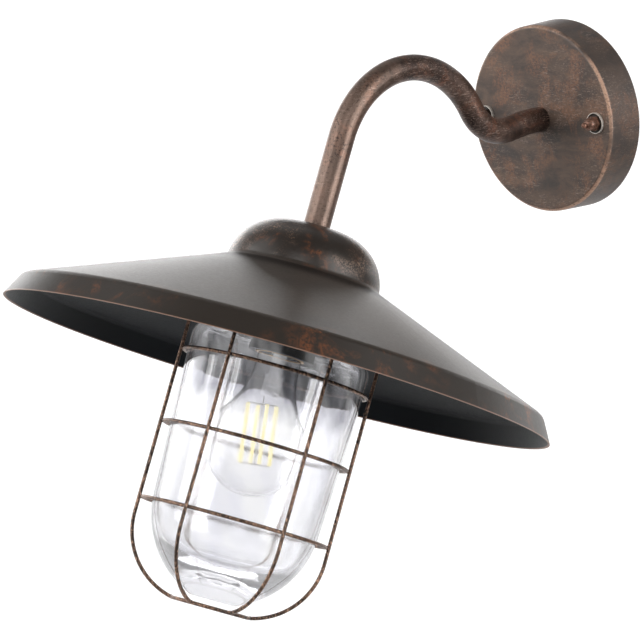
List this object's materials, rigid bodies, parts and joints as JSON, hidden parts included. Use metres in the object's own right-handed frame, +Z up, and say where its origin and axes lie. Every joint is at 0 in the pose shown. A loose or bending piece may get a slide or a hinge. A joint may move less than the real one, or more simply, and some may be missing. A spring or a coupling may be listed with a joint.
{
  "type": "outdoor wall lamp",
  "caption": "Gooseneck outdoor wall lamp: round canopy, bent tube arm, wide dish shade, and a clear glass jar in a wire cage around a screw-in bulb.",
  "frame": {"origin": "centre of the canopy's open back, in the plane of the wall and midway between the two box screws", "axes": "+Z up; +Y into the wall; the arm reaches out along -Y in the plane x = 0; +X to the right of someone at the wall looking out"},
  "size_m": [0.334, 0.4137, 0.3158],
  "materials": {
    "canopy_patina": "mottled bronze patina, satin",
    "arm_patina": "brushed-on copper over dark brown, satin",
    "shade_patina": "dark brown satin with rust-coloured rub marks",
    "nut_patina": "coppery satin",
    "washer_patina": "satin with worn edges",
    "holder_paint": "satin",
    "cage_patina": "satin with copper highlights",
    "jar_glass": "clear, slightly wavy",
    "bulb_glass": "clear",
    "rubber": "matte",
    "phenolic": "semi-matte",
    "brass": "satin",
    "steel": "zinc-plated",
    "ground_green": "satin",
    "bulb_metal": "bright",
    "filament": "coated",
    "lead_black": "semi-gloss",
    "lead_white": "semi-gloss"
  },
  "bodies": {
    "lamp": {"wall_crossbar": "steel", "ground_screw": "ground_green", "canopy_studs": "steel", "stud_lock_nuts": "steel", "wall_gasket": "rubber", "canopy": "canopy_patina", "nut_washers": "washer_patina", "canopy_lock_washer": "steel", "canopy_lock_nut": "steel", "canopy_pipe": "steel", "arm_root_bush": "steel", "arm_tube": "arm_patina", "shade": "shade_patina", "arm_end_bush": "steel", "shade_pipe": "steel", "shade_washer": "steel", "shade_lock_nut": "steel", "holder_lock_nut": "steel", "glass_holder": "holder_paint", "glass_seal": "rubber", "glass_jar": "jar_glass", "glass_screw_nuts": "steel", "cage_plate": "holder_paint", "cage_wires": "cage_patina", "cage_ring_upper": "cage_patina", "cage_ring_middle": "cage_patina", "cage_ring_lower": "cage_patina", "cage_end_ring": "cage_patina", "cage_screws": "steel", "cage_nuts": "steel", "lampholder_cap": "phenolic", "lampholder_body": "phenolic", "lampholder_shell": "brass", "lampholder_contact": "brass", "terminal_screws": "brass", "lead_black": "lead_black", "lead_white": "lead_white"},
    "cap_nut_left": {"cap_nut_left": "nut_patina"},
    "cap_nut_right": {"cap_nut_right": "nut_patina"},
    "glass_screw_1": {"glass_screw_1": "holder_paint"},
    "glass_screw_2": {"glass_screw_2": "holder_paint"},
    "glass_screw_3": {"glass_screw_3": "holder_paint"},
    "bulb": {"bulb_base": "bulb_metal", "bulb_insulator": "phenolic", "bulb_contact": "bulb_metal", "bulb_glass": "bulb_glass", "bulb_stem": "bulb_glass", "bulb_filaments": "filament", "filament_frame": "bulb_metal"}
  },
  "joints": [
    {"name": "cap_nut_left_turn", "type": "hinge", "parent": "lamp", "child": "cap_nut_left", "pos_m": [-0.0475, -0.033, 0], "axis": [0, -1, 0], "range_deg": [0, 360]},
    {"name": "cap_nut_right_turn", "type": "hinge", "parent": "lamp", "child": "cap_nut_right", "pos_m": [0.0475, -0.033, 0], "axis": [0, -1, 0], "range_deg": [0, 360]},
    {"name": "glass_screw_1_turn", "type": "hinge", "parent": "lamp", "child": "glass_screw_1", "pos_m": [0.01048, -0.20612, -0.10647], "axis": [0.2096, 0.8697, -0.4469], "range_deg": [0, 360]},
    {"name": "glass_screw_2_turn", "type": "hinge", "parent": "lamp", "child": "glass_screw_2", "pos_m": [-0.04758, -0.26327, -0.0771], "axis": [-0.9516, -0.2734, 0.1405], "range_deg": [0, 360]},
    {"name": "glass_screw_3_turn", "type": "hinge", "parent": "lamp", "child": "glass_screw_3", "pos_m": [0.0371, -0.27942, -0.0688], "axis": [0.742, -0.5963, 0.3065], "range_deg": [0, 360]},
    {"name": "bulb_turn", "type": "hinge", "parent": "lamp", "child": "bulb", "pos_m": [0, -0.26515, -0.11437], "axis": [0, -0.4571, -0.8894], "range_deg": [0, 360]}
  ]
}
